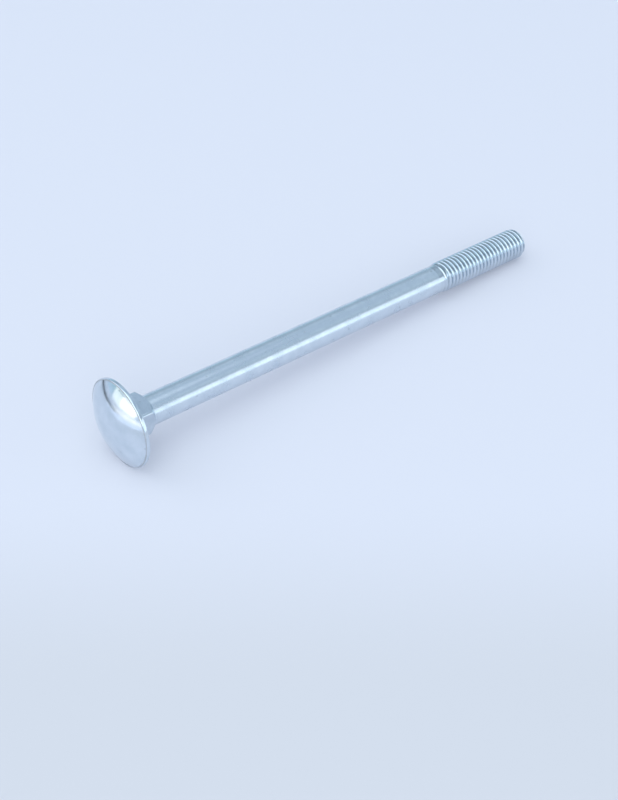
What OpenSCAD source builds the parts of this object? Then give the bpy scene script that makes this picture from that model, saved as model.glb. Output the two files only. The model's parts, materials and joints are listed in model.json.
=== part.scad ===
// Carriage bolt lying at rest: a shallow domed head, a square neck, a reduced shank and a threaded end.
// The bolt is one forged and rolled solid. It is drawn along its own axis first, with the bearing face
// under the head at zero and the point at plus Z, and is then laid down on its rim and its thread.

/* [Head] */
// Diameter over the rim of the head
head_d = 21.5; // [18:0.1:26]
// Height of the head from its bearing face to the top of the dome
head_h = 4.3; // [3.4:0.1:6]
// Height of the plain band round the edge of the head
rim_h = 1.05; // [0.7:0.05:1.6]
// Radius that rounds both edges of the band
rim_round = 0.3; // [0.15:0.05:0.34]
// Step from the edge of the head in to the foot of the dome
dome_step = 0.4; // [0.4:0.05:0.8]

/* [Neck] */
// Width of the square neck across its flats
neck_w = 7.7; // [7.4:0.1:10]
// Height of the square neck under the head
neck_h = 6.4; // [4:0.1:9]
// Width that is rounded off each corner of the square, as a radius
neck_corner = 0.7; // [0.2:0.05:1]
// Height over which the end of the neck runs down to the shank
neck_taper = 1.2; // [0.6:0.1:2]
// Radius of the fillet where the neck meets the bearing face
neck_fillet = 0.4; // [0.2:0.05:0.8]

/* [Shank] */
// Length of the bolt under the head
length = 125; // [60:1:200]
// Diameter of the plain shank, reduced to the size that the thread is rolled from
shank_d = 7.24; // [6.5:0.02:7.6]

/* [Thread] */
// Diameter over the crests of the thread
thread_d = 7.88; // [7.7:0.02:8.4]
// Length of the full thread, measured from the point
thread_len = 27.5; // [15:0.5:50]
// Length of the incomplete thread between the shank and the full thread
runout_len = 3.2; // [1:0.1:5]
// Length of the chamfer at the point
point_len = 0.7; // [0.4:0.1:2]
// Diameter of the flat end of the point
point_d = 7.1; // [5.4:0.1:7.4]

/* [Pose] */
// Turn of the square neck about the axis of the bolt
neck_turn = 10; // [0:1:90]

/* [Hidden] */
round_fn = 96;
head_r = head_d / 2;
thread_r = thread_d / 2;
shank_r = shank_d / 2;
point_r = point_d / 2;

// The dome is a cap of one sphere between its foot above the rim and the top of the head.
dome_foot_r = head_r - dome_step;
dome_rise = head_h - rim_h;
dome_r = (dome_foot_r * dome_foot_r + dome_rise * dome_rise) / (2 * dome_rise);
dome_centre = dome_r - head_h;

// Half of a flat between two round corners, and how far a corner reaches from the axis.
neck_flat = neck_w / 2 - neck_corner;
corner_reach = neck_flat * sqrt(2) + neck_corner;

// The bolt rests on the round edge of its rim and on the first full crest behind the point.
rest_reach = length - point_len;
drop = head_r - rim_round - thread_r;
span = rest_reach + rim_round;
tilt = atan2(drop, span) + asin(rim_round / sqrt(drop * drop + span * span));
axis_height = rim_round * (1 - sin(tilt)) + (head_r - rim_round) * cos(tilt);

// The middle of the bolt's length as it lies, from the top of the dome to the far edge of the point.
far_end = length * cos(tilt) + point_r * sin(tilt);
near_end = dome_centre * cos(tilt) - dome_r;
middle = (far_end + near_end) / 2;

// Cap of the dome, cut from one sphere just above the rim
module dome() {
  intersection() {
    translate([0, 0, dome_centre]) sphere(r = dome_r, $fn = round_fn);
    translate([0, 0, -head_h - 1]) cylinder(r = dome_foot_r, h = head_h + 1 - rim_h / 2, $fn = round_fn);
  }
}

// Band of the head with both its edges rounded
module rim() {
  seat = head_r - rim_round;
  rotate_extrude($fn = round_fn)
    union() {
      translate([0, -rim_h]) square([seat, rim_h]);
      translate([0, rim_round - rim_h]) square([head_r, rim_h - 2 * rim_round]);
      for (z = [-rim_round, rim_round - rim_h]) translate([seat, z]) circle(r = rim_round, $fn = 32);
    }
}

// Cross-section of the neck: a square with round corners
module neck_section() {
  square([neck_w, 2 * neck_flat], center = true);
  square([2 * neck_flat, neck_w], center = true);
  for (x = [-neck_flat, neck_flat], y = [-neck_flat, neck_flat])
    translate([x, y]) circle(r = neck_corner, $fn = 32);
}

// Cross-section of the fillet, with its corner at the origin
module fillet_section() {
  difference() {
    square(neck_fillet);
    translate([neck_fillet, neck_fillet]) circle(r = neck_fillet, $fn = 32);
  }
}

// Fillet that runs round the square where it leaves the bearing face
module neck_root() {
  for (side = [0:3]) rotate([0, 0, 90 * side]) {
    translate([neck_w / 2, 0, 0]) rotate([90, 0, 0])
      linear_extrude(height = 2 * neck_flat, center = true) fillet_section();
    translate([neck_flat, neck_flat, 0])
      rotate_extrude(angle = 90, $fn = 32) translate([neck_corner, 0]) fillet_section();
  }
}

// Square neck, whose corners are cut down to the shank by a cone
module neck() {
  intersection() {
    rotate([0, 0, neck_turn]) linear_extrude(height = neck_h) neck_section();
    union() {
      cylinder(r = corner_reach + 0.1, h = neck_h - neck_taper, $fn = round_fn);
      translate([0, 0, neck_h - neck_taper])
        cylinder(r1 = corner_reach + 0.1, r2 = shank_r, h = neck_taper, $fn = round_fn);
    }
  }
}

// Plain shank, run-out and threaded length up to the chamfered point, turned from one outline
module stem() {
  full_from = length - thread_len;
  rotate_extrude($fn = round_fn)
    polygon([
      [0, -rim_h / 4],
      [shank_r, -rim_h / 4],
      [shank_r, full_from - runout_len],
      [thread_r, full_from],
      [thread_r, length - point_len],
      [point_r, length],
      [0, length]
    ]);
}

// Lays the upright bolt down along X, on its rim and its thread, with its middle over the origin
module lay_down() {
  translate([-middle, 0, axis_height]) rotate([0, 90 + tilt, 0]) children();
}

module bolt() {
  color("lightsteelblue")
    lay_down() {
      dome();
      rim();
      neck();
      rotate([0, 0, neck_turn]) neck_root();
      stem();
    }
}

bolt();
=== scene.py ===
"""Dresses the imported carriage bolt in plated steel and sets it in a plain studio.

The bolt is modelled upright, with the bearing face under its head at zero and its point up the Z axis.
Once its head, neck, shank and thread are one closed mesh, it is laid down where the frame holds it.
"""

from __future__ import annotations

import json
import logging
import math
from dataclasses import dataclass
from enum import Enum
from typing import Callable

import bpy
import numpy as np
from mathutils import Matrix, Vector


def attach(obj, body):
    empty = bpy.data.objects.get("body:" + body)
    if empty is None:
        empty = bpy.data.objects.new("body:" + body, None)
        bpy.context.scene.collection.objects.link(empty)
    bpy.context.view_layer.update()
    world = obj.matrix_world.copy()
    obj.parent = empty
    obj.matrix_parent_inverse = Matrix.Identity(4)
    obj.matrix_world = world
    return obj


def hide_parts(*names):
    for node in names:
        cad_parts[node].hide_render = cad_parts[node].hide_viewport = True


Tree = bpy.types.ShaderNodeTree
Node = bpy.types.Node

LOG = logging.getLogger("carriage_bolt")
MM = 0.001
FULL_TURN = 2 * math.pi
WELD = 0.002 * MM
EXACT = 0.01 * WELD

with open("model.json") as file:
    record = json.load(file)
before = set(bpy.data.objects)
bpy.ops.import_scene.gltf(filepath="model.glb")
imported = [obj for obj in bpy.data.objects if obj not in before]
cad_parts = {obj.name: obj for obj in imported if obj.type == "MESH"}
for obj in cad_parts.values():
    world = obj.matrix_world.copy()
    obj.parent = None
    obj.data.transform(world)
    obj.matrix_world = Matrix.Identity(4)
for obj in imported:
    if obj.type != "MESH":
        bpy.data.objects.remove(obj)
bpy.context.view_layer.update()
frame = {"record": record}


class Zone(Enum):
    """The stretches of the bolt that were made in different ways and so look different, and the crease
    under the dome, which gets painted shade.
    """

    HEAD = 0
    NECK = 1
    SHANK = 2
    THREAD = 3
    CREASE = 4


@dataclass(frozen=True)
class RestingPlace:
    """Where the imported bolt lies: the middle of its bearing face and the way that its axis points."""

    face_centre: Vector
    direction: Vector

    @classmethod
    def from_record(cls, record: dict) -> RestingPlace:
        """Read the place from the record's mounts.

        Args:
            record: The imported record.

        Returns:
            The place of the bolt in the frame.
        """
        face = find_mount(record, "bearing_face")
        thread = find_mount(record, "threaded_end")
        direction = Vector(thread["axis"]).normalized()
        on_axis = Vector(thread["pos_m"])
        reach = (Vector(face["pos_m"]) - on_axis).dot(direction)
        return cls(on_axis + direction * reach, direction)

    def along(self, point: Vector) -> float:
        """Return how far a point lies from the bearing face, measured along the axis."""
        return (point - self.face_centre).dot(self.direction)

    def matrix(self) -> Matrix:
        """Find the placement that lays the upright bolt on its rest, its X axis pointing down.

        Returns:
            The placement, a turn and a move.

        Raises:
            ValueError: If the placement would mirror the bolt, which would make its thread left-handed.
        """
        side = Vector((0, 1, 0))
        down = side.cross(self.direction).normalized()
        turn = Matrix((down, side, self.direction)).transposed()
        if turn.determinant() < 0:
            raise ValueError("the resting place mirrors the bolt")
        return Matrix.Translation(self.face_centre) @ turn.to_4x4()


def find_mount(record: dict, name: str) -> dict:
    """Return the record's mount of that name.

    Args:
        record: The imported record.
        name: The mount's name.

    Returns:
        The mount as the record states it.
    """
    return next(mount for mount in record["mounts"] if mount["name"] == name)


def only(obj: bpy.types.Object) -> None:
    """Make one object the only one that is selected, and the active one.

    Args:
        obj: The object.
    """
    bpy.ops.object.select_all(action="DESELECT")
    obj.select_set(True)
    bpy.context.view_layer.objects.active = obj


def chain_of_edges(name: str, outline: list[tuple[float, float]]) -> bpy.types.Object:
    """Draw an outline as a chain of edges in the XZ plane, by extruding a single point.

    Args:
        name: The new object's name.
        outline: Radius and height of each point, in metres.

    Returns:
        The object that holds the chain.
    """
    bpy.ops.object.select_all(action="DESELECT")
    radius, height = outline[0]
    bpy.ops.mesh.primitive_circle_add(vertices=3, radius=MM, location=(0, 0, 0))
    obj = bpy.context.active_object
    obj.name = name
    bpy.ops.object.mode_set(mode="EDIT")
    bpy.ops.mesh.select_all(action="SELECT")
    bpy.ops.mesh.merge(type="CENTER")
    bpy.ops.transform.translate(value=(radius, 0, height))
    for (r0, z0), (r1, z1) in zip(outline, outline[1:]):
        step = (r1 - r0, 0, z1 - z0)
        bpy.ops.mesh.extrude_region_move(TRANSFORM_OT_translate={"value": step})
    bpy.ops.object.mode_set(mode="OBJECT")
    return obj


def vertex_table(obj: bpy.types.Object) -> np.ndarray:
    """Read the places of a mesh's vertices.

    Args:
        obj: The object that holds the mesh.

    Returns:
        Rows of x, y and z, one for each vertex.
    """
    flat = np.empty(len(obj.data.vertices) * 3)
    obj.data.vertices.foreach_get("co", flat)
    return flat.reshape(-1, 3)


def put_vertices(obj: bpy.types.Object, table: np.ndarray) -> None:
    """Write the places of a mesh's vertices back from rows of x, y and z."""
    obj.data.vertices.foreach_set("co", table.ravel())
    obj.data.update()


def set_radius(table: np.ndarray, radius: np.ndarray, rows: np.ndarray) -> None:
    """Move some vertices straight out from or in to the Z axis.

    Args:
        table: Rows of x, y and z, changed in place.
        radius: The radius that each chosen vertex gets.
        rows: Which vertices are moved.
    """
    flat = table[rows, :2]
    now = np.linalg.norm(flat, axis=1)
    table[rows, :2] = flat * (radius / now)[:, None]


def soft_min(a: np.ndarray, b: np.ndarray, blend: float) -> np.ndarray:
    """Return the smaller of two values, rounded over where they cross.

    Args:
        a: First value.
        b: Second value.
        blend: Width over which the crossing is rounded.

    Returns:
        The rounded minimum.
    """
    near = np.clip(0.5 + 0.5 * (b - a) / blend, 0, 1)
    return b + (a - b) * near - blend * near * (1 - near)


def arc(
    centre: tuple[float, float], radius: float, start: float, end: float, steps: int
) -> list[tuple[float, float]]:
    """Return points along an arc in the radius and height plane.

    Args:
        centre: Radius and height of the arc's centre.
        radius: The arc's own radius.
        start: First angle in degrees, from the outward direction up towards plus Z.
        end: Last angle in degrees.
        steps: Number of steps between the two.

    Returns:
        The points, both ends included.
    """
    angles = [math.radians(start + (end - start) * i / steps) for i in range(steps + 1)]
    return [(centre[0] + radius * math.cos(a), centre[1] + radius * math.sin(a)) for a in angles]


@dataclass
class DomedHead:
    """The round head: a cap of one sphere, a thin rim with rounded edges and a flat bearing face."""

    diameter: float = 21.5 * MM
    height: float = 4.3 * MM
    rim_height: float = 1.05 * MM
    rim_round: float = 0.3 * MM
    dome_step: float = 0.4 * MM
    crease_width: float = 0.34 * MM
    crease_depth: float = 0.08 * MM
    crease_bottom: float = 0.35
    dome_rings: int = 30
    rim_rings: int = 7

    @property
    def radius(self) -> float:
        """Radius over the rim."""
        return self.diameter / 2

    def in_crease(self, reach: float, height: float) -> bool:
        """Return whether a point lies in the crease between the dome and the rim."""
        foot = self.radius - self.dome_step
        return foot < reach < foot + self.crease_width and height < -self.rim_height / 2

    def outline(self) -> list[tuple[float, float]]:
        """Draw the head's outline.

        Returns:
            The points, from the top of the dome, through the crease and over the rim, to the bearing face.
        """
        foot = self.radius - self.dome_step
        rise = self.height - self.rim_height
        sphere = (foot * foot + rise * rise) / (2 * rise)
        half_angle = math.degrees(math.asin(foot / sphere))
        dome = arc((0, sphere - self.height), sphere, -90, half_angle - 90, self.dome_rings)
        ledge = -self.rim_height
        crease = [(foot + self.crease_bottom * self.crease_width, ledge + self.crease_depth)]
        seat = self.radius - self.rim_round
        lip = math.degrees(math.acos((foot + self.crease_width - seat) / self.rim_round))
        upper = arc((seat, self.rim_round + ledge), self.rim_round, -lip, 0, self.rim_rings)
        lower = arc((seat, -self.rim_round), self.rim_round, 0, 90, self.rim_rings)
        return dome + crease + upper + lower


@dataclass
class SquareNeck:
    """The square under the head, with round corners that a cone cuts down to the shank."""

    width: float = 7.7 * MM
    height: float = 6.4 * MM
    corner: float = 0.7 * MM
    taper: float = 1.2 * MM
    fillet: float = 0.4 * MM
    edge_blend: float = 0.14 * MM
    blend_from: float = -0.3
    turn: float = 10.0
    fillet_rings: int = 6
    straight_rings: int = 4
    taper_rings: int = 18

    @property
    def corner_reach(self) -> float:
        """How far a corner reaches from the axis."""
        return (self.width / 2 - self.corner) * math.sqrt(2) + self.corner

    def heights(self) -> list[float]:
        """Set out the rings that carry the square.

        Returns:
            The height of each ring, from the bearing face to the shank.
        """
        angles = [math.radians(90 * i / self.fillet_rings) for i in range(self.fillet_rings)]
        fillet = [self.fillet * (1 - math.cos(angle)) for angle in angles]
        cut = self.height - self.taper
        straight = [
            self.fillet + (cut - self.fillet) * i / self.straight_rings for i in range(self.straight_rings)
        ]
        taper = [cut + self.taper * i / self.taper_rings for i in range(self.taper_rings + 1)]
        return fillet + straight + taper

    def outline(self) -> list[tuple[float, float]]:
        """Return one point for each ring, as far out as the corners and their fillet."""
        return [(self.corner_reach + self.fillet, height) for height in self.heights()]

    def shape(self, table: np.ndarray, shank_radius: float) -> None:
        """Move the neck's rings in from a cylinder to the square.

        Args:
            table: Rows of x, y and z of the turned blank, changed in place.
            shank_radius: Radius that the neck ends in.
        """
        reach = np.linalg.norm(table[:, :2], axis=1)
        ring = np.abs(reach - self.corner_reach - self.fillet) < WELD
        rows = np.flatnonzero(ring & (table[:, 2] > -WELD) & (table[:, 2] < self.height + WELD))
        height = table[rows, 2]
        angle = np.arctan2(table[rows, 1], table[rows, 0]) - math.radians(self.turn)
        fold = np.abs((angle + math.pi / 4) % (math.pi / 2) - math.pi / 4)
        low = np.clip(self.fillet - height, 0, self.fillet)
        flare = self.fillet - np.sqrt(np.maximum(self.fillet**2 - low**2, 0))
        half = self.width / 2 + flare
        corner = self.corner + flare
        centre = (half - corner) * math.sqrt(2)
        off = math.pi / 4 - fold
        on_corner = half * np.tan(fold) > half - corner
        bulge = np.sqrt(np.maximum(corner**2 - (centre * np.sin(off)) ** 2, 0))
        square = np.where(on_corner, centre * np.cos(off) + bulge, half / np.cos(fold))
        share = (height - (self.height - self.taper)) / self.taper
        cone = self.corner_reach + (shank_radius - self.corner_reach) * share
        radius = np.where(share > self.blend_from, soft_min(square, cone, self.edge_blend), square)
        radius = np.where(height > self.height - WELD, shank_radius, np.maximum(radius, shank_radius))
        set_radius(table, radius, rows)


@dataclass
class PlainShank:
    """The long smooth stretch between the neck and the thread."""

    diameter: float = 7.24 * MM
    ring_gap: float = 4.0 * MM

    @property
    def radius(self) -> float:
        """Radius of the shank."""
        return self.diameter / 2

    def outline(self, start: float, end: float) -> list[tuple[float, float]]:
        """Return points from just past the neck to the last ring before the thread.

        Args:
            start: Height of the neck's end.
            end: Height of the last ring.

        Returns:
            The points, with the neck's own end left out.
        """
        steps = max(1, round((end - start) / self.ring_gap))
        return [(self.radius, start + (end - start) * (i + 1) / steps) for i in range(steps)]


@dataclass
class ThreadedEnd:
    """The rolled right-hand thread, its run-out and its chamfered point."""

    length: float
    full_from: float
    crest_radius: float
    pitch: float = 1.25 * MM
    depth: float = 0.72 * MM
    crest_flat: float = 0.16 * MM
    root_flat: float = 0.26 * MM
    rounding: float = 0.1 * MM
    runout: float = 3.2 * MM
    first_trace: float = 1.1 * MM
    point_length: float = 0.7 * MM
    point_radius: float = 3.55 * MM
    point_blend: float = 0.05 * MM
    spare_turns: int = 2
    seam_lead: float = 0.2
    rounding_steps: int = 4
    rows_per_pitch: int = 18
    steps_per_turn: int = 144

    @property
    def start(self) -> float:
        """Height at which the run-out begins."""
        return self.full_from - self.runout

    def tooth_height(self, place: float) -> float:
        """Return the share of the thread's depth at a place along one pitch, zero at the root.

        Args:
            place: Distance from the middle of a crest.

        Returns:
            A value from 0 at the root to 1 at the crest.
        """
        off = abs((place / self.pitch + 0.5) % 1 - 0.5) * self.pitch
        flank = (self.pitch - self.crest_flat - self.root_flat) / 2
        return min(1.0, max(0.0, 1 - (off - self.crest_flat / 2) / flank))

    def tooth(self) -> list[tuple[float, float]]:
        """Draw one pitch of the thread, its corners rounded by averaging over a short stretch.

        Returns:
            Radius and height of each point, from one crest to the next.
        """
        steps = self.rounding_steps
        samples = [self.rounding * (k / steps - 1) for k in range(2 * steps + 1)]
        points = []
        for i in range(self.rows_per_pitch + 1):
            place = self.pitch * i / self.rows_per_pitch
            share = sum(self.tooth_height(place + d) for d in samples) / len(samples)
            points.append((self.crest_radius - self.depth * (1 - share), place))
        return points

    def build(self, shank_radius: float) -> bpy.types.Object:
        """Roll the thread as a helical band and cut it square at both ends.

        Args:
            shank_radius: Radius that the run-out fades into.

        Returns:
            The band, open at the shank's end and closed at the point.
        """
        band = chain_of_edges("thread", self.tooth())
        turns = math.ceil((self.length - self.start) / self.pitch) + self.spare_turns + 1
        only(band)
        bpy.ops.object.modifier_add(type="SCREW")
        screw = band.modifiers[-1]
        screw.axis = "Z"
        screw.angle = FULL_TURN
        screw.screw_offset = self.pitch
        screw.iterations = turns
        screw.steps = self.steps_per_turn
        screw.render_steps = self.steps_per_turn
        bpy.ops.object.modifier_apply(modifier=screw.name)
        bpy.ops.object.mode_set(mode="EDIT")
        bpy.ops.mesh.select_all(action="SELECT")
        bpy.ops.mesh.remove_doubles(threshold=WELD)
        bpy.ops.transform.translate(value=(0, 0, self.start - self.spare_turns * self.pitch))
        bpy.ops.object.mode_set(mode="OBJECT")
        self.shape(band, shank_radius)
        bpy.ops.object.mode_set(mode="EDIT")
        for height, inner in ((self.start - self.seam_lead * self.pitch, True), (self.length, False)):
            bpy.ops.mesh.select_all(action="SELECT")
            bpy.ops.mesh.bisect(
                plane_co=(0, 0, height),
                plane_no=(0, 0, 1),
                use_fill=not inner,
                clear_inner=inner,
                clear_outer=not inner,
                threshold=EXACT,
            )
        bpy.ops.object.mode_set(mode="OBJECT")
        return band

    def shape(self, band: bpy.types.Object, shank_radius: float) -> None:
        """Fade the thread into the shank and cut it down to the chamfer at the point.

        Args:
            band: The helical band.
            shank_radius: Radius of the plain shank.
        """
        table = vertex_table(band)
        height = table[:, 2]
        share = np.clip((height - self.start - self.first_trace) / (self.runout - self.first_trace), 0, 1)
        grown = share * share * (3 - 2 * share)
        radius = shank_radius + (np.linalg.norm(table[:, :2], axis=1) - shank_radius) * grown
        slope = (self.crest_radius - self.point_radius) / self.point_length
        chamfer = self.point_radius + slope * (self.length - height)
        radius = soft_min(radius, chamfer, self.point_blend)
        set_radius(table, radius, np.arange(len(table)))
        put_vertices(band, table)


class FinishGroups:
    """The shader node groups that the finishes share, each built once."""

    def __init__(self) -> None:
        """Build the groups."""
        self.cloud = self._group("plating_cloud", self._fill_cloud, ("Scale", "Detail"), ("Cloud",))
        self.streaks = self._group("drawn_streaks", self._fill_streaks, ("Scale", "Stretch"), ("Streaks",))
        self.specks = self._group("plating_specks", self._fill_specks, ("Scale", "Amount"), ("Specks",))
        limits = ("Root", "Crest", "Dark From", "Dark To")
        # This group gives painted shade in the thread's grooves.
        self.root = self._group("thread_root_painted_shade", self._fill_painted_root_shade, limits, ("Depth",))

    @staticmethod
    def _group(
        name: str, fill: Callable[..., None], inputs: tuple[str, ...], outputs: tuple[str, ...]
    ) -> Tree:
        """Make one group with a vector input, named float inputs and float outputs.

        Args:
            name: The group's name.
            fill: Function that adds the group's own nodes.
            inputs: Names of the float inputs.
            outputs: Names of the float outputs.

        Returns:
            The finished group.
        """
        tree = bpy.data.node_groups.new(name, "ShaderNodeTree")
        tree.interface.new_socket("Vector", in_out="INPUT", socket_type="NodeSocketVector")
        for label in inputs:
            tree.interface.new_socket(label, in_out="INPUT", socket_type="NodeSocketFloat")
        for label in outputs:
            tree.interface.new_socket(label, in_out="OUTPUT", socket_type="NodeSocketFloat")
        fill(tree, tree.nodes.new("NodeGroupInput"), tree.nodes.new("NodeGroupOutput"))
        return tree

    @staticmethod
    def _fill_cloud(tree: Tree, given: Node, result: Node) -> None:
        """Fill the group that gives broad, soft patches in the plating.

        Args:
            tree: The group.
            given: The node that holds the group's inputs.
            result: The node that takes the group's outputs.
        """
        noise = tree.nodes.new("ShaderNodeTexNoise")
        noise.inputs["Roughness"].default_value = 0.55
        tree.links.new(given.outputs["Vector"], noise.inputs["Vector"])
        tree.links.new(given.outputs["Scale"], noise.inputs["Scale"])
        tree.links.new(given.outputs["Detail"], noise.inputs["Detail"])
        spread = tree.nodes.new("ShaderNodeMapRange")
        spread.inputs["From Min"].default_value = 0.3
        spread.inputs["From Max"].default_value = 0.7
        tree.links.new(noise.outputs["Fac"], spread.inputs["Value"])
        tree.links.new(spread.outputs["Result"], result.inputs["Cloud"])

    @staticmethod
    def _fill_streaks(tree: Tree, given: Node, result: Node) -> None:
        """Fill the group that gives fine marks drawn out along X.

        Args:
            tree: The group.
            given: The node that holds the group's inputs.
            result: The node that takes the group's outputs.
        """
        shrink = tree.nodes.new("ShaderNodeCombineXYZ")
        shrink.inputs["Y"].default_value = 1.0
        shrink.inputs["Z"].default_value = 1.0
        tree.links.new(given.outputs["Stretch"], shrink.inputs["X"])
        scaled = tree.nodes.new("ShaderNodeVectorMath")
        scaled.operation = "MULTIPLY"
        tree.links.new(given.outputs["Vector"], scaled.inputs[0])
        tree.links.new(shrink.outputs["Vector"], scaled.inputs[1])
        noise = tree.nodes.new("ShaderNodeTexNoise")
        noise.inputs["Detail"].default_value = 4.0
        noise.inputs["Roughness"].default_value = 0.6
        tree.links.new(scaled.outputs["Vector"], noise.inputs["Vector"])
        tree.links.new(given.outputs["Scale"], noise.inputs["Scale"])
        tree.links.new(noise.outputs["Fac"], result.inputs["Streaks"])

    @staticmethod
    def _fill_specks(tree: Tree, given: Node, result: Node) -> None:
        """Fill the group that gives scattered small pits and specks.

        Args:
            tree: The group.
            given: The node that holds the group's inputs.
            result: The node that takes the group's outputs.
        """
        cells = tree.nodes.new("ShaderNodeTexVoronoi")
        tree.links.new(given.outputs["Vector"], cells.inputs["Vector"])
        tree.links.new(given.outputs["Scale"], cells.inputs["Scale"])
        dot = tree.nodes.new("ShaderNodeMapRange")
        dot.inputs["From Min"].default_value = 0.08
        dot.inputs["From Max"].default_value = 0.26
        dot.inputs["To Min"].default_value = 1.0
        dot.inputs["To Max"].default_value = 0.0
        tree.links.new(cells.outputs["Distance"], dot.inputs["Value"])
        chosen = tree.nodes.new("ShaderNodeMath")
        chosen.operation = "LESS_THAN"
        split = tree.nodes.new("ShaderNodeSeparateColor")
        tree.links.new(cells.outputs["Color"], split.inputs["Color"])
        tree.links.new(split.outputs["Red"], chosen.inputs[0])
        tree.links.new(given.outputs["Amount"], chosen.inputs[1])
        both = tree.nodes.new("ShaderNodeMath")
        both.operation = "MULTIPLY"
        tree.links.new(dot.outputs["Result"], both.inputs[0])
        tree.links.new(chosen.outputs["Value"], both.inputs[1])
        tree.links.new(both.outputs["Value"], result.inputs["Specks"])

    @staticmethod
    def _fill_painted_root_shade(tree: Tree, given: Node, result: Node) -> None:
        """Fill the group that gives painted shade at the bottom of the thread, strongest on the upper
        side.

        Args:
            tree: The group.
            given: The node that holds the group's inputs.
            result: The node that takes the group's outputs.
        """
        split = tree.nodes.new("ShaderNodeSeparateXYZ")
        across = tree.nodes.new("ShaderNodeCombineXYZ")
        tree.links.new(given.outputs["Vector"], split.inputs["Vector"])
        tree.links.new(split.outputs["Y"], across.inputs["Y"])
        tree.links.new(split.outputs["Z"], across.inputs["Z"])
        length = tree.nodes.new("ShaderNodeVectorMath")
        length.operation = "LENGTH"
        tree.links.new(across.outputs["Vector"], length.inputs[0])
        depth = tree.nodes.new("ShaderNodeMapRange")
        depth.interpolation_type = "SMOOTHSTEP"
        depth.inputs["To Min"].default_value = 1.0
        depth.inputs["To Max"].default_value = 0.0
        tree.links.new(length.outputs["Value"], depth.inputs["Value"])
        tree.links.new(given.outputs["Root"], depth.inputs["From Min"])
        tree.links.new(given.outputs["Crest"], depth.inputs["From Max"])
        # Painted shade: the lower side of the thread gets only part of the grooves' darkening.
        upper = tree.nodes.new("ShaderNodeMapRange")
        upper.interpolation_type = "SMOOTHSTEP"
        upper.inputs["To Min"].default_value = 0.35
        tree.links.new(split.outputs["Z"], upper.inputs["Value"])
        tree.links.new(given.outputs["Dark From"], upper.inputs["From Min"])
        tree.links.new(given.outputs["Dark To"], upper.inputs["From Max"])
        painted_shade = tree.nodes.new("ShaderNodeMath")
        painted_shade.operation = "MULTIPLY"
        tree.links.new(depth.outputs["Result"], painted_shade.inputs[0])
        tree.links.new(upper.outputs["Result"], painted_shade.inputs[1])
        tree.links.new(painted_shade.outputs["Value"], result.inputs["Depth"])


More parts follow.
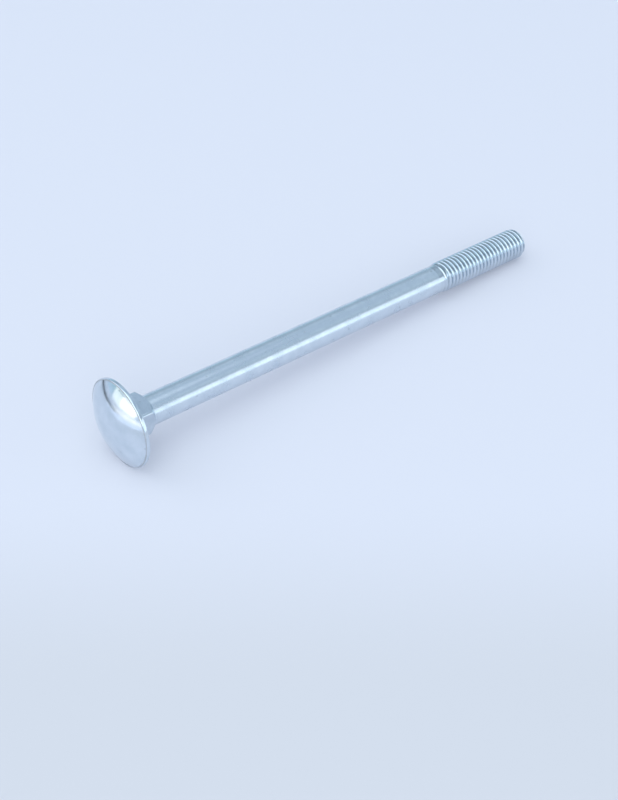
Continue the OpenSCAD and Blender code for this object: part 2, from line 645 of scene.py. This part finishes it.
@dataclass(frozen=True)
class PlatedFinish:
    """Bright zinc plating over forged or rolled steel, as it looks on one zone of the bolt; some zones
    also get painted shade.
    """

    name: str
    bright: tuple[float, float, float] = (0.72, 0.79, 0.85)
    dull: tuple[float, float, float] = (0.60, 0.68, 0.75)
    smooth: float = 0.13
    rough: float = 0.24
    cloud_scale: float = 260.0
    cloud_detail: float = 4.0
    streak_scale: float = 2600.0
    streak_stretch: float = 0.06
    speck_scale: float = 900.0
    speck_amount: float = 0.05
    wave_height: float = 0.012 * MM
    streak_height: float = 0.0006 * MM
    pit_depth: float = 0.006 * MM
    # This colour tints the specks and, with the root weight below it, paints shade into the thread's
    # grooves.
    speck_and_shade_colour: tuple[float, float, float] = (0.33, 0.37, 0.41)
    painted_root_shade: float = 0.0
    root_reach: float = 0.8
    upper_from: float = 0.45
    upper_to: float = 0.78
    speck_shade: float = 0.5

    def build(
        self, groups: FinishGroups, place: RestingPlace, root: float, crest: float
    ) -> bpy.types.Material:
        """Make the material of this finish.

        Args:
            groups: The shared node groups.
            place: Where the bolt lies, so that marks run along its axis.
            root: Radius of the bottom of the thread.
            crest: Radius of the thread's crests.

        Returns:
            The material.
        """
        material = bpy.data.materials.new(self.name)
        material.use_nodes = True
        tree = material.node_tree
        nodes, links = tree.nodes, tree.links
        shader = nodes["Principled BSDF"]
        shader.inputs["Metallic"].default_value = 1.0
        coordinates = nodes.new("ShaderNodeTexCoord")
        aligned = nodes.new("ShaderNodeMapping")
        turn = Matrix.Rotation(-math.atan2(-place.direction.z, place.direction.x), 3, "Y")
        aligned.inputs["Rotation"].default_value = turn.to_euler()
        aligned.inputs["Location"].default_value = -(turn @ place.face_centre)
        links.new(coordinates.outputs["Object"], aligned.inputs["Vector"])

        cloud = self._use(tree, groups.cloud, aligned, Scale=self.cloud_scale, Detail=self.cloud_detail)
        drawn = {"Scale": self.streak_scale, "Stretch": self.streak_stretch}
        streaks = self._use(tree, groups.streaks, aligned, **drawn)
        specks = self._use(tree, groups.specks, aligned, Scale=self.speck_scale, Amount=self.speck_amount)
        sides = {"Dark From": self.upper_from * crest, "Dark To": self.upper_to * crest}
        top = (1 - self.root_reach) * root + self.root_reach * crest
        depth = self._use(tree, groups.root, aligned, Root=root, Crest=top, **sides)

        tone = nodes.new("ShaderNodeMix")
        tone.data_type = "RGBA"
        tone.inputs["A"].default_value = (*self.bright, 1)
        tone.inputs["B"].default_value = (*self.dull, 1)
        links.new(cloud.outputs["Cloud"], tone.inputs["Factor"])
        speck_and_shade_mix = nodes.new("ShaderNodeMix")
        speck_and_shade_mix.data_type = "RGBA"
        speck_and_shade_mix.inputs["B"].default_value = (*self.speck_and_shade_colour, 1)
        links.new(tone.outputs["Result"], speck_and_shade_mix.inputs["A"])
        # Mix factor: painted shade in the thread's grooves plus the specks.
        shade = nodes.new("ShaderNodeMath")
        shade.operation = "MULTIPLY_ADD"
        shade.inputs[1].default_value = self.painted_root_shade
        links.new(depth.outputs["Depth"], shade.inputs[0])
        faint = nodes.new("ShaderNodeMath")
        faint.operation = "MULTIPLY"
        faint.inputs[1].default_value = self.speck_shade
        links.new(specks.outputs["Specks"], faint.inputs[0])
        links.new(faint.outputs["Value"], shade.inputs[2])
        links.new(shade.outputs["Value"], speck_and_shade_mix.inputs["Factor"])
        links.new(speck_and_shade_mix.outputs["Result"], shader.inputs["Base Color"])

        sheen = nodes.new("ShaderNodeMapRange")
        sheen.inputs["To Min"].default_value = self.smooth
        sheen.inputs["To Max"].default_value = self.rough
        links.new(cloud.outputs["Cloud"], sheen.inputs["Value"])
        links.new(sheen.outputs["Result"], shader.inputs["Roughness"])

        normal = None
        for source, socket, height, sign in (
            (cloud, "Cloud", self.wave_height, 1.0),
            (streaks, "Streaks", self.streak_height, 1.0),
            (specks, "Specks", self.pit_depth, -1.0),
        ):
            bump = nodes.new("ShaderNodeBump")
            bump.inputs["Distance"].default_value = height
            bump.inputs["Strength"].default_value = 1.0
            bump.invert = sign < 0
            links.new(source.outputs[socket], bump.inputs["Height"])
            if normal is not None:
                links.new(normal.outputs["Normal"], bump.inputs["Normal"])
            normal = bump
        links.new(normal.outputs["Normal"], shader.inputs["Normal"])
        return material

    @staticmethod
    def _use(
        tree: Tree, group: Tree, vector: Node, **values: float
    ) -> Node:
        """Place a group in the material with its own values.

        Args:
            tree: The material's nodes.
            group: The group to place.
            vector: The node that gives the aligned coordinates.
            **values: The group's float inputs by name.

        Returns:
            The group's node.
        """
        node = tree.nodes.new("ShaderNodeGroup")
        node.node_tree = group
        tree.links.new(vector.outputs["Vector"], node.inputs["Vector"])
        for label, value in values.items():
            node.inputs[label].default_value = value
        return node


FINISHES = {
    Zone.HEAD: PlatedFinish("forged_head_plating", smooth=0.11, rough=0.18, streak_height=0.0),
    Zone.NECK: PlatedFinish("forged_neck_plating", streak_height=0.0, dull=(0.55, 0.63, 0.70)),
    Zone.SHANK: PlatedFinish("drawn_shank_plating", smooth=0.2, rough=0.3),
    Zone.THREAD: PlatedFinish(
        "rolled_thread_plating",
        smooth=0.07,
        rough=0.13,
        # The dark colour and the root weight paint shade into the grooves, most on the upper side.
        speck_and_shade_colour=(0.06, 0.11, 0.14),
        painted_root_shade=0.95,
        streak_height=0.0,
        wave_height=0.002 * MM,
        pit_depth=0.002 * MM,
    ),
    # The crease finish is darker as painted shade in the crease between the dome and the rim.
    Zone.CREASE: PlatedFinish(
        "crease_painted_shade", bright=(0.60, 0.64, 0.68), dull=(0.44, 0.47, 0.50), smooth=0.3, rough=0.45
    ),
}


class CarriageBolt:
    """The whole bolt as one closed mesh."""

    steps_round_blank = 256
    blank_crease = math.radians(20)
    thread_crease = math.radians(50)
    seam_gap = 0.8
    head_margin = 0.02

    def __init__(self, place: RestingPlace, record: dict) -> None:
        """Set out the parts of the bolt from the record.

        Args:
            place: Where the bolt lies.
            record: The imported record.
        """
        thread = find_mount(record, "threaded_end")
        middle = place.along(Vector(thread["pos_m"]))
        half = thread["dims"]["length_mm"] * MM / 2
        self.place = place
        self.head = DomedHead()
        self.neck = SquareNeck()
        self.shank = PlainShank()
        point = ThreadedEnd.point_length
        self.thread = ThreadedEnd(
            length=middle + half + point, full_from=middle - half, crest_radius=thread["dims"]["r_mm"] * MM
        )

    def turn_blank(self) -> bpy.types.Object:
        """Turn the head, neck and shank from one outline, and press the neck square.

        Returns:
            The blank, open where the thread joins it.
        """
        gap = self.seam_gap * self.thread.pitch
        outline = self.head.outline() + self.neck.outline()
        outline += self.shank.outline(self.neck.height, self.thread.start - gap)
        blank = chain_of_edges("carriage_bolt", outline)
        only(blank)
        bpy.ops.object.mode_set(mode="EDIT")
        bpy.ops.mesh.select_all(action="SELECT")
        bpy.ops.mesh.spin(steps=self.steps_round_blank, angle=FULL_TURN, center=(0, 0, 0), axis=(0, 0, 1))
        bpy.ops.mesh.select_all(action="SELECT")
        bpy.ops.mesh.remove_doubles(threshold=WELD)
        bpy.ops.object.mode_set(mode="OBJECT")
        table = vertex_table(blank)
        self.neck.shape(table, self.shank.radius)
        put_vertices(blank, table)
        return blank

    def build(self) -> bpy.types.Object:
        """Join the blank and the thread into one closed mesh and lay it down.

        Returns:
            The bolt, with its place in its mesh.
        """
        blank = self.turn_blank()
        thread = self.thread.build(self.shank.radius)
        for piece, crease in ((blank, self.blank_crease), (thread, self.thread_crease)):
            only(piece)
            bpy.ops.object.shade_smooth_by_angle(angle=crease)
        bpy.ops.object.select_all(action="DESELECT")
        thread.select_set(True)
        blank.select_set(True)
        bpy.context.view_layer.objects.active = blank
        bpy.ops.object.join()
        bpy.ops.object.mode_set(mode="EDIT")
        bpy.ops.mesh.select_mode(type="EDGE")
        bpy.ops.mesh.select_all(action="DESELECT")
        bpy.ops.mesh.select_non_manifold(
            use_wire=False,
            use_boundary=True,
            use_multi_face=False,
            use_non_contiguous=False,
            use_verts=False,
        )
        bpy.ops.mesh.bridge_edge_loops()
        bpy.ops.mesh.select_all(action="SELECT")
        bpy.ops.mesh.normals_make_consistent(inside=False)
        bpy.ops.mesh.select_mode(type="VERT")
        bpy.ops.object.mode_set(mode="OBJECT")
        self.mark_zones(blank)
        only(blank)
        bpy.ops.object.shade_smooth(keep_sharp_edges=True)
        blank.matrix_world = self.place.matrix()
        bpy.ops.object.transform_apply(location=True, rotation=True, scale=True)
        return blank

    def mark_zones(self, bolt: bpy.types.Object) -> None:
        """Give each face the number of its zone, by where it lies along and about the axis.

        Args:
            bolt: The closed mesh, still upright.
        """
        bounds = (
            (Zone.HEAD, self.neck.fillet * self.head_margin),
            (Zone.NECK, self.neck.height),
            (Zone.SHANK, self.thread.start),
        )
        for zone in Zone:
            bolt.data.materials.append(bpy.data.materials.new(zone.name))
        for face in bolt.data.polygons:
            height = face.center.z
            zone = next((zone for zone, end in bounds if height < end), Zone.THREAD)
            # Faces in the crease get a darker finish as painted shade.
            if self.head.in_crease(math.hypot(face.center.x, face.center.y), height):
                zone = Zone.CREASE
            face.material_index = zone.value

    def dress(self, bolt: bpy.types.Object, groups: FinishGroups) -> None:
        """Give each zone its finish.

        Args:
            bolt: The finished mesh.
            groups: The shared node groups.
        """
        crest = self.thread.crest_radius
        root = crest - self.thread.depth
        for zone, finish in FINISHES.items():
            spare = bolt.data.materials[zone.value]
            bolt.data.materials[zone.value] = finish.build(groups, self.place, root, crest)
            bpy.data.materials.remove(spare)


@dataclass(frozen=True)
class PhotoView:
    """The camera's place round the bolt, as the photograph shows it."""

    azimuth: float = -39.81
    elevation: float = 40.45
    distance: float = 365.8 * MM
    lens: float = 66.79
    aim: tuple[float, float, float] = (-8.54 * MM, -2.26 * MM, -9.66 * MM)

    def build(self) -> bpy.types.Object:
        """Set up the camera and make it the scene's own.

        Returns:
            The camera.
        """
        around, up = math.radians(self.azimuth), math.radians(self.elevation)
        back = Vector((math.sin(around) * math.cos(up), -math.cos(around) * math.cos(up), math.sin(up)))
        bpy.ops.object.camera_add(location=Vector(self.aim) + back * self.distance)
        camera = bpy.context.active_object
        camera.name = "camera"
        camera.data.lens = self.lens
        camera.data.clip_start = 0.01
        camera.rotation_mode = "QUATERNION"
        camera.rotation_quaternion = (-back).to_track_quat("-Z", "Y")
        bpy.context.scene.camera = camera
        return camera


@dataclass(frozen=True)
class SoftLight:
    """One soft panel of the studio, seen from the bolt by its azimuth and elevation."""

    name: str
    azimuth: float
    elevation: float
    distance: float
    width: float
    height: float
    radiance: float
    colour: tuple[float, float, float] = (1.0, 1.0, 1.0)

    def build(self) -> bpy.types.Object:
        """Hang the panel so that it faces the bolt.

        Returns:
            The panel.
        """
        around, up = math.radians(self.azimuth), math.radians(self.elevation)
        out = Vector((math.cos(around) * math.cos(up), math.sin(around) * math.cos(up), math.sin(up)))
        bpy.ops.object.light_add(type="AREA", location=out * self.distance)
        panel = bpy.context.active_object
        panel.name = self.name
        panel.data.shape = "RECTANGLE"
        panel.data.size = self.width
        panel.data.size_y = self.height
        panel.data.color = self.colour
        panel.data.energy = self.radiance * math.pi * self.width * self.height
        panel.rotation_mode = "QUATERNION"
        panel.rotation_quaternion = (-out).to_track_quat("-Z", "Y")
        panel.visible_camera = False
        return panel


@dataclass(frozen=True)
class FloorStrip:
    """A long strip on the floor outside the picture, which only the metal sees."""

    name: str
    start: tuple[float, float]
    end: tuple[float, float]
    width: float
    lift: float
    grey: float
    glow: tuple[float, float, float] = (0.0, 0.0, 0.0)
    coolness: float = 1.1

    def build(self) -> bpy.types.Object:
        """Lay the strip, which the camera doesn't see and which casts no shadow.

        Returns:
            The strip.
        """
        start, end = Vector((*self.start, self.lift)), Vector((*self.end, self.lift))
        run = end - start
        bpy.ops.object.select_all(action="DESELECT")
        bpy.ops.mesh.primitive_plane_add(size=1, location=(0, 0, 0))
        strip = bpy.context.active_object
        strip.name = self.name
        turn = Matrix.Rotation(math.atan2(run.y, run.x), 4, "Z")
        size = Matrix.Diagonal((run.length, self.width, 1, 1))
        strip.matrix_world = Matrix.Translation((start + end) / 2) @ turn @ size
        bpy.ops.object.transform_apply(location=True, rotation=True, scale=True)
        felt = bpy.data.materials.new(f"{self.name}_felt")
        felt.use_nodes = True
        shader = felt.node_tree.nodes["Principled BSDF"]
        shader.inputs["Base Color"].default_value = (self.grey, self.grey, self.grey * self.coolness, 1)
        shader.inputs["Roughness"].default_value = 1.0
        # A glow here is painted light: the strip glows though it is no lamp.
        shader.inputs["Emission Color"].default_value = (*self.glow, 1)
        shader.inputs["Emission Strength"].default_value = 1.0
        strip.data.materials.append(felt)
        strip.visible_camera = False
        strip.visible_shadow = False
        strip.visible_diffuse = False
        return strip


@dataclass(frozen=True)
class Studio:
    """A pale floor with three strips, a soft sky that is darkest half way up, and soft panels."""

    floor_size: float = 4.0
    floor_colour: tuple[float, float, float] = (0.69, 0.69, 0.745)
    floor_seen: tuple[float, float, float] = (0.705, 0.765, 0.955)
    floor_softness: float = 0.2
    # Painted shade: the floor is darker towards the front left.
    front_painted_shade: tuple[float, float, float] = (0.91, 0.905, 0.875)
    front_way: tuple[float, float, float] = (-0.640, -0.768, 0.0)
    front_from: float = 50 * MM
    front_to: float = 105 * MM
    sky_strength: float = 2.0
    sky: tuple[tuple[float, tuple[float, float, float]], ...] = (
        (0.0, (0.32, 0.40, 0.50)),
        (11.0, (0.23, 0.33, 0.38)),
        (28.0, (0.19, 0.23, 0.29)),
        (44.0, (0.30, 0.37, 0.43)),
        (56.0, (0.19, 0.24, 0.32)),
        (72.0, (0.66, 0.75, 0.80)),
    )
    strips: tuple[FloorStrip, ...] = (
        FloorStrip("dark_strip", (-60 * MM, 140 * MM), (-215 * MM, 66 * MM), 60 * MM, 0.3 * MM, 0.03),
        FloorStrip("pale_strip", (-125 * MM, 0.0), (-900 * MM, 120 * MM), 240 * MM, 0.2 * MM, 0.9),
        # Painted light: this strip glows, so the metal shows a lit patch of floor.
        FloorStrip(
            "painted_light_strip",
            (-190 * MM, 25 * MM),
            (-900 * MM, 60 * MM),
            160 * MM,
            0.4 * MM,
            0.9,
            glow=(0.48, 0.34, 0.1),
        ),
    )
    panels: tuple[SoftLight, ...] = (
        SoftLight("overhead_panel", 170, 58, 2.8, 3.0, 3.0, 0.52, (0.93, 1.0, 0.99)),
        SoftLight("front_panel", -125, 42, 2.8, 2.8, 2.4, 1.27, (0.99, 1.0, 0.98)),
        SoftLight("low_front_panel", -130, 18, 2.4, 2.0, 0.8, 1.2, (0.85, 0.88, 1.0)),
        SoftLight("back_panel", 115, 38, 2.6, 2.0, 1.6, 0.68, (0.97, 0.96, 1.0)),
        SoftLight("left_panel", 160, 8, 1.6, 1.24, 0.4, 0.74, (1.0, 0.87, 0.68)),
        SoftLight("upper_left_panel", 170, 10, 1.6, 0.8, 0.4, 0.71, (1.0, 0.82, 0.75)),
        SoftLight("right_panel", -60, 12, 1.6, 1.6, 0.84, 0.73),
    )

    def build(self) -> None:
        """Lay the floor, hang the panels and light the surround."""
        bpy.ops.object.select_all(action="DESELECT")
        bpy.ops.mesh.primitive_plane_add(size=self.floor_size, location=(0, 0, 0))
        floor = bpy.context.active_object
        floor.name = "floor"
        floor.data.materials.append(self.floor_paint())
        for strip in self.strips:
            strip.build()
        for panel in self.panels:
            panel.build()
        self.surround()

    def floor_paint(self) -> bpy.types.Material:
        """Make the floor's paint, with painted shade that makes it a little darker towards the front left.

        Returns:
            The paint, which the camera and the metal see with a softer shadow than it takes.
        """
        paint = bpy.data.materials.new("pale_floor")
        paint.use_nodes = True
        nodes, links = paint.node_tree.nodes, paint.node_tree.links
        shader = nodes["Principled BSDF"]
        shader.inputs["Roughness"].default_value = 0.9
        shader.inputs["Specular IOR Level"].default_value = 0.1
        glow = nodes.new("ShaderNodeEmission")
        coordinates = nodes.new("ShaderNodeTexCoord")
        ahead = nodes.new("ShaderNodeVectorMath")
        ahead.operation = "DOT_PRODUCT"
        ahead.inputs[1].default_value = self.front_way
        links.new(coordinates.outputs["Object"], ahead.inputs[0])
        near = nodes.new("ShaderNodeMapRange")
        near.interpolation_type = "SMOOTHSTEP"
        near.inputs["From Min"].default_value = self.front_from
        near.inputs["From Max"].default_value = self.front_to
        links.new(ahead.outputs["Value"], near.inputs["Value"])
        # Both the lit colour and the colour seen get painted shade towards the front left.
        for colour, socket in (
            (self.floor_colour, shader.inputs["Base Color"]),
            (self.floor_seen, glow.inputs["Color"]),
        ):
            shaded_colour = nodes.new("ShaderNodeMix")
            shaded_colour.data_type = "RGBA"
            shaded_colour.inputs["A"].default_value = (*colour, 1)
            shaded_colour.inputs["B"].default_value = (*(c * part for c, part in zip(colour, self.front_painted_shade)), 1)
            links.new(near.outputs["Result"], shaded_colour.inputs["Factor"])
            links.new(shaded_colour.outputs["Result"], socket)
        path = nodes.new("ShaderNodeLightPath")
        seen = path.outputs["Is Camera Ray"]
        for ray in ("Is Glossy Ray", "Is Transmission Ray"):
            either = nodes.new("ShaderNodeMath")
            either.operation = "MAXIMUM"
            links.new(seen, either.inputs[0])
            links.new(path.outputs[ray], either.inputs[1])
            seen = either.outputs["Value"]
        share = nodes.new("ShaderNodeMath")
        share.operation = "MULTIPLY"
        share.inputs[1].default_value = self.floor_softness
        links.new(seen, share.inputs[0])
        mix = nodes.new("ShaderNodeMixShader")
        links.new(share.outputs["Value"], mix.inputs["Fac"])
        links.new(shader.outputs["BSDF"], mix.inputs[1])
        links.new(glow.outputs["Emission"], mix.inputs[2])
        links.new(mix.outputs["Shader"], nodes["Material Output"].inputs["Surface"])
        return paint

    def surround(self) -> None:
        """Make the world, graded by height and the same to the camera, the metal and the floor."""
        world = bpy.data.worlds.new("surround")
        world.use_nodes = True
        bpy.context.scene.world = world
        nodes, links = world.node_tree.nodes, world.node_tree.links
        lit = nodes["Background"]
        coordinates = nodes.new("ShaderNodeTexCoord")
        split = nodes.new("ShaderNodeSeparateXYZ")
        ramp = nodes.new("ShaderNodeValToRGB")
        links.new(coordinates.outputs["Generated"], split.inputs["Vector"])
        links.new(split.outputs["Z"], ramp.inputs["Fac"])
        elements = ramp.color_ramp.elements
        while len(elements) < len(self.sky):
            elements.new(0.5)
        for element, (height, colour) in zip(elements, self.sky):
            element.position = math.sin(math.radians(height))
            element.color = (*colour, 1)
        lit.inputs["Strength"].default_value = self.sky_strength
        links.new(ramp.outputs["Color"], lit.inputs["Color"])


def main() -> None:
    """Build the bolt and its studio, and log the bolt's face count."""
    logging.basicConfig(level=logging.INFO, format="%(name)s: %(message)s")
    record = frame["record"]
    place = RestingPlace.from_record(record)
    bolt = CarriageBolt(place, record)
    piece = bolt.build()
    bolt.dress(piece, FinishGroups())
    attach(piece, "root")
    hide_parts("bolt")
    LOG.info("%s has %d faces", piece.name, len(piece.data.polygons))
    Studio().build()
    PhotoView().build()
    bpy.context.scene.view_settings.view_transform = "Standard"


if __name__ == "__main__":
    main()
